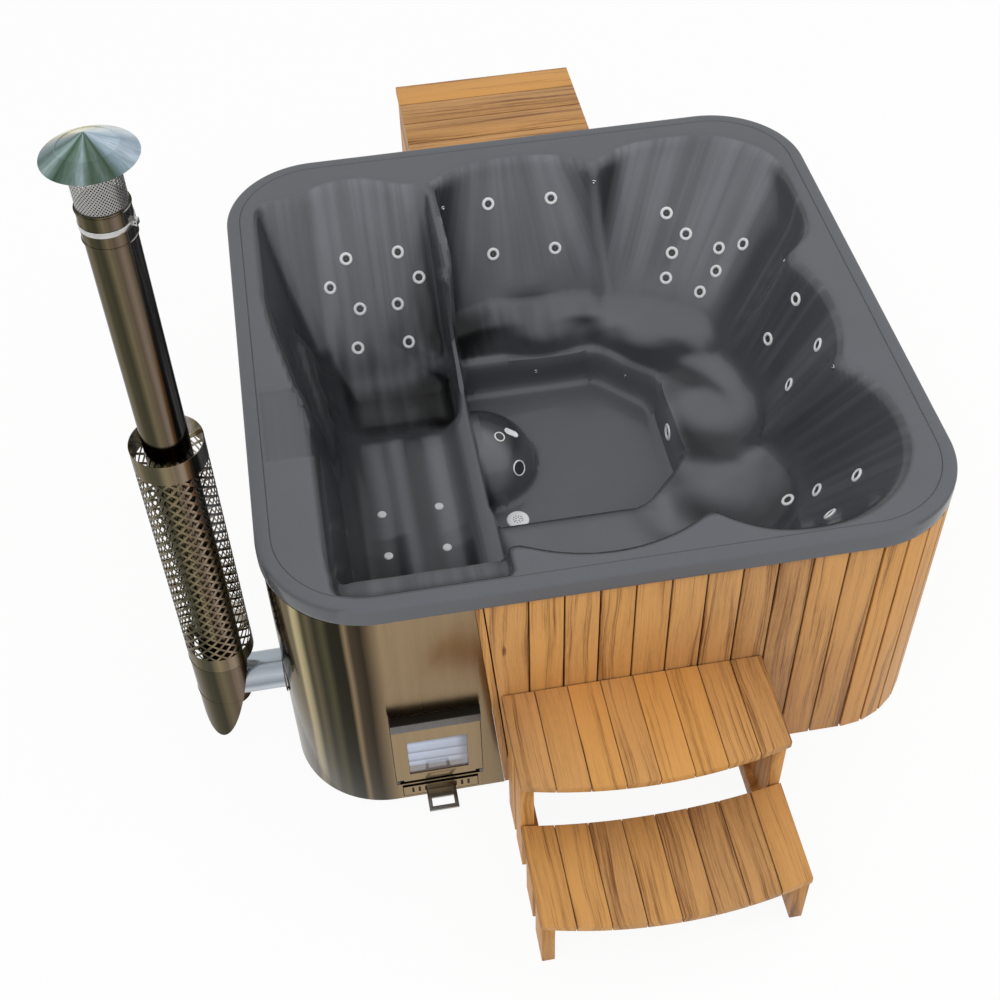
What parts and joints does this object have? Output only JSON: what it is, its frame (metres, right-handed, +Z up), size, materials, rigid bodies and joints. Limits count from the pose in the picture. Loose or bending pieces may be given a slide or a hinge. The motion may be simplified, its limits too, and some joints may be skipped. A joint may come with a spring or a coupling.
{
  "type": "wood-burning hot tub",
  "caption": "Square hot tub with a moulded spa shell, board cladding, a wood stove behind a steel corner, a side flue, steps and a rear pump box.",
  "frame": {"origin": "on the floor under the middle of the tub body, on the lower face of the middle base beam", "axes": "+X to the right along the front, +Y from the steps towards the rear box, +Z up"},
  "size_m": [2.268, 3.3245, 2.308],
  "materials": {
    "frame_wood": "planed softwood",
    "panel_wood": "plywood",
    "acrylic": "dark grey acrylic, glossy in the seats, pebbled on the rim",
    "chrome_trim": "polished",
    "white_plastic": "moulded, satin",
    "grey_plastic": "satin",
    "wall_wood": "oiled heat-treated pine boards",
    "strip_wood": "oiled pine",
    "mirror_steel": "near mirror finish",
    "plain_steel": "brushed",
    "dark_steel": "heat-resistant black",
    "cast_iron": "raw",
    "door_steel": "near mirror finish",
    "glass": "heat-resistant glass",
    "pump_grey": "satin",
    "black_plastic": "satin",
    "brass": "raw",
    "red_paint": "gloss",
    "step_wood": "oiled heat-treated pine boards",
    "screw_steel": "plain"
  },
  "bodies": {
    "tub": {"base_beams": "frame_wood", "floor_panel": "panel_wood", "posts": "frame_wood", "ring_formers": "frame_wood", "rim_rails": "frame_wood", "shell_bearers": "frame_wood", "spa_shell": "acrylic", "massage_jets": "chrome_trim", "jet_nuts": "white_plastic", "leg_jets": "white_plastic", "air_fittings": "chrome_trim", "wall_jet": "chrome_trim", "dome_covers": "chrome_trim", "floor_drain": "chrome_trim", "cladding": "wall_wood", "edge_strip": "strip_wood", "steel_jacket": "mirror_steel", "flue_flange": "plain_steel", "water_tank": "plain_steel", "fire_chamber": "dark_steel", "fire_grate": "cast_iron", "heater_pipes": "plain_steel", "door_pins": "plain_steel", "flue_elbow": "mirror_steel", "elbow_shield": "mirror_steel", "flue_pipe": "mirror_steel", "heat_guard": "mirror_steel", "pipe_collar": "mirror_steel", "collar_clamp": "plain_steel", "spark_mesh": "plain_steel", "rain_cap": "mirror_steel", "box_frame": "frame_wood", "box_boards": "wall_wood", "box_floor": "panel_wood", "lid_pins": "plain_steel", "pump_motor": "pump_grey", "pump_wet_end": "black_plastic", "air_blower": "black_plastic", "control_box": "white_plastic", "suction_pipe": "white_plastic", "pressure_pipe": "white_plastic", "air_pipe": "grey_plastic", "drain_pipe": "white_plastic", "drain_valve": "brass", "stair_legs": "step_wood", "stair_bearers": "step_wood", "upper_tread": "step_wood", "lower_tread": "step_wood", "stair_screws": "screw_steel"},
    "fire_door": {"door_panel": "door_steel", "door_glass": "glass", "glass_frame": "dark_steel", "grip_bar": "plain_steel"},
    "ash_drawer": {"ash_front": "door_steel", "ash_tray": "dark_steel", "drawer_handle": "plain_steel"},
    "box_lid": {"lid_boards": "wall_wood", "lid_battens": "frame_wood", "lid_hinges": "plain_steel"},
    "valve_handle": {"valve_lever": "red_paint"}
  },
  "joints": [
    {"name": "fire_door_hinge", "type": "hinge", "parent": "tub", "child": "fire_door", "pos_m": [-0.5725, -0.99, 0.099], "axis": [1, 0, 0], "range_deg": [0, 90]},
    {"name": "ash_drawer_slide", "type": "slide", "parent": "tub", "child": "ash_drawer", "axis": [0, -1, 0], "range_m": [0, 0.25]},
    {"name": "box_lid_hinge", "type": "hinge", "parent": "tub", "child": "box_lid", "pos_m": [0.022, 1.018, 0.803], "axis": [1, 0, 0], "range_deg": [0, 93]},
    {"name": "valve_turn", "type": "hinge", "parent": "tub", "child": "valve_handle", "pos_m": [-0.22, 1.14, 0.2], "axis": [0, 0, 1], "range_deg": [0, 90]}
  ]
}
